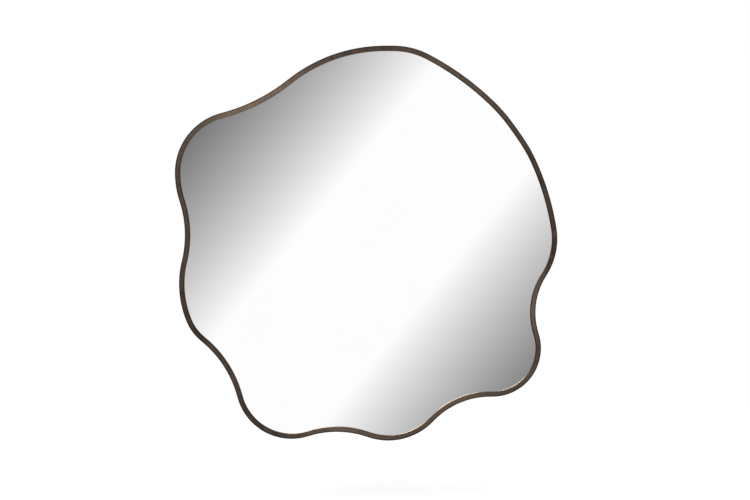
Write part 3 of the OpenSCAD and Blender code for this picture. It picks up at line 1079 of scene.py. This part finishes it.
def graded_card():
    """Bands that fade from white to grey and back, for sharp reflections only."""
    made = bpy.data.materials.new("graded card")
    made.use_nodes = True
    tree = made.node_tree
    tree.nodes.remove(tree.nodes["Principled BSDF"])
    place = add(tree, "TexCoord").outputs["Object"]
    from_axis = add(tree, "VectorMath", {
        0: place, 1: (camera.location.x, 0, camera.location.z)}, operation="SUBTRACT")
    across = add(tree, "VectorMath", {0: from_axis.outputs["Vector"], 1: BAND_NORMAL},
                 operation="DOT_PRODUCT")
    off_band = add(tree, "Math", {0: across.outputs["Value"], 1: darkest_at}, operation="PINGPONG")
    tone = add(tree, "MapRange", {
        "Value": off_band.outputs["Value"], "From Min": white_half, "From Max": darkest_at,
        "To Min": 1.0, "To Max": DARKEST})
    # Tones are even steps to the eye, and the power makes light of them
    light = add(tree, "Math", {0: tone.outputs["Result"], 1: TONE_TO_LIGHT}, operation="POWER")
    glow = add(tree, "Emission", {"Color": light.outputs["Value"], "Strength": CARD_STRENGTH})
    clear = add(tree, "BsdfTransparent")
    sharp_ray = add(tree, "LightPath").outputs["Is Singular Ray"]
    mixed = add(tree, "MixShader", {0: sharp_ray, 1: clear.outputs[0], 2: glow.outputs[0]})
    tree.links.new(mixed.outputs[0], tree.nodes["Material Output"].inputs["Surface"])
    return made


card_finish = graded_card()
print("backdrop:", card_finish.name)

# %% Bend the card
# The half sphere reaches a little behind the wall
PAST_WALL = 0.2
dome = bmesh.new()
bmesh.ops.create_uvsphere(dome, u_segments=64, v_segments=32, radius=CARD_RADIUS)
bmesh.ops.bisect_plane(
    dome, geom=dome.verts[:] + dome.edges[:] + dome.faces[:],
    plane_co=(0, PAST_WALL, 0), plane_no=(0, 1, 0), clear_outer=True,
)
bmesh.ops.translate(dome, verts=dome.verts, vec=(middle.x, 0, middle.z))
card_mesh = bpy.data.meshes.new("graded_card")
dome.to_mesh(card_mesh)
dome.free()
card_mesh.materials.append(card_finish)
card = bpy.data.objects.new("graded_card", card_mesh)
card.visible_camera = False
card.visible_diffuse = False
card.visible_shadow = False
scene.collection.objects.link(card)
print("card: a half sphere of", len(card_mesh.polygons), "faces")

# %% [markdown]
# ## Lamps
#
# Soft lamps stand in front and behind, so that the back is lit as well as the face. One more hangs above,
# a little to the left, and lights reflections only. Edges that face up shine in it, which draws the pale
# line on the rim's inner arris along the bottom and the lower right, as in the photo. It would glare on
# the side band, so light linking keeps it on the rim's face, as a photographer's flags would.

# %% Softboxes
def softbox(name, place, size, watts):
    """A square soft lamp that faces the middle of the mirror."""
    lamp = bpy.data.lights.new(name, "AREA")
    lamp.shape = "SQUARE"
    lamp.size = size
    lamp.energy = watts
    stand = bpy.data.objects.new(name, lamp)
    stand.location = place
    stand.rotation_euler = (middle - Vector(place)).to_track_quat("-Z", "Y").to_euler()
    stand.visible_camera = False
    scene.collection.objects.link(stand)
    print(f"{name}: {size} m square, {watts} W")
    return stand


softbox("main lamp", (-1.7, -2.1, 1.4), 1.6, 45)
softbox("fill lamp", (2.3, -1.9, 0.2), 2.0, 14)
softbox("back lamp", (1.9, 2.3, 1.5), 1.6, 45)
softbox("back fill lamp", (-2.2, 2.0, 0.3), 2.0, 14)
softbox("top lamp", (0, 0, 3.0), 2.5, 20)
edge_light = softbox("edge light", (-1.2, -0.5, 2.4), 2.2, 300)
edge_light.visible_diffuse = False
inside_flags = bpy.data.collections.new("lit by the edge light")
inside_flags.objects.link(rim_face)
edge_light.light_linking.receiver_collection = inside_flags
